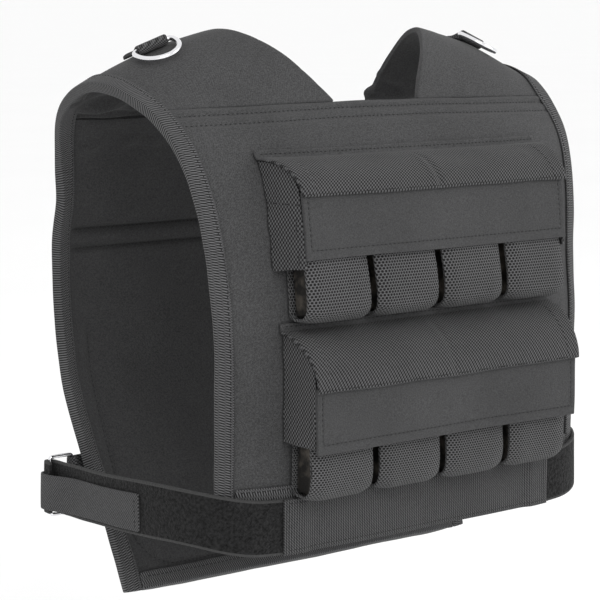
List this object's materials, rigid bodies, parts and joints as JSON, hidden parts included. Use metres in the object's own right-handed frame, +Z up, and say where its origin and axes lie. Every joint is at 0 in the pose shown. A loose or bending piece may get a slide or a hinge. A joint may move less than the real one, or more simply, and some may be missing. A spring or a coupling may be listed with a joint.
{
  "type": "weighted vest",
  "caption": "Padded weighted training vest as worn: bound front and back panels, rows of webbing sleeves with iron bars under hooded flaps, waist belt and D-rings.",
  "frame": {"origin": "between the shoulders, under the crest, where the vest sits on its wearer", "axes": "+Z up, the front with the pouches faces -Y, +X is the wearer's left"},
  "size_m": [0.3888, 0.2645, 0.4009],
  "materials": {
    "cloth": "smooth polyester weave",
    "weave": "coarse ballistic weave",
    "tape": "woven binding tape",
    "webbing": "ribbed webbing",
    "pile": "loop pile",
    "iron": "dull, brown-black",
    "chrome": "polished"
  },
  "bodies": {
    "vest": {"back_bottom_tape": "tape", "back_panel": "cloth", "belt_anchor_left": "webbing", "belt_anchor_right": "webbing", "belt_band": "webbing", "belt_loop_left": "chrome", "belt_loop_right": "chrome", "belt_strap_left": "pile", "belt_strap_right": "pile", "belt_tab_left": "webbing", "belt_tab_right": "webbing", "d_ring_tab_left": "webbing", "d_ring_tab_right": "webbing", "front_bottom_tape": "tape", "front_panel": "cloth", "lower_band": "cloth", "lower_bar_1": "iron", "lower_bar_2": "iron", "lower_bar_3": "iron", "lower_bar_4": "iron", "lower_hood": "weave", "lower_sleeve_1": "webbing", "lower_sleeve_2": "webbing", "lower_sleeve_3": "webbing", "lower_sleeve_4": "webbing", "lower_wing_left": "weave", "lower_wing_right": "weave", "shoulder_left": "cloth", "shoulder_right": "cloth", "side_tape_left": "tape", "side_tape_right": "tape", "upper_band": "cloth", "upper_bar_1": "iron", "upper_bar_2": "iron", "upper_bar_3": "iron", "upper_bar_4": "iron", "upper_hood": "weave", "upper_sleeve_1": "webbing", "upper_sleeve_2": "webbing", "upper_sleeve_3": "webbing", "upper_sleeve_4": "webbing", "upper_wing_left": "weave", "upper_wing_right": "weave"},
    "ring_right": {"d_ring_right": "chrome"},
    "ring_left": {"d_ring_left": "chrome"}
  },
  "joints": [
    {"name": "d_ring_right_turn", "type": "hinge", "parent": "vest", "child": "ring_right", "pos_m": [-0.14344, -0.00182, 0.01318], "axis": [-0.9302, 0.1008, -0.353], "range_deg": [0, 165]},
    {"name": "d_ring_left_turn", "type": "hinge", "parent": "vest", "child": "ring_left", "pos_m": [0.14344, -0.00182, 0.01318], "axis": [-0.9302, -0.1008, 0.353], "range_deg": [0, 165]}
  ]
}
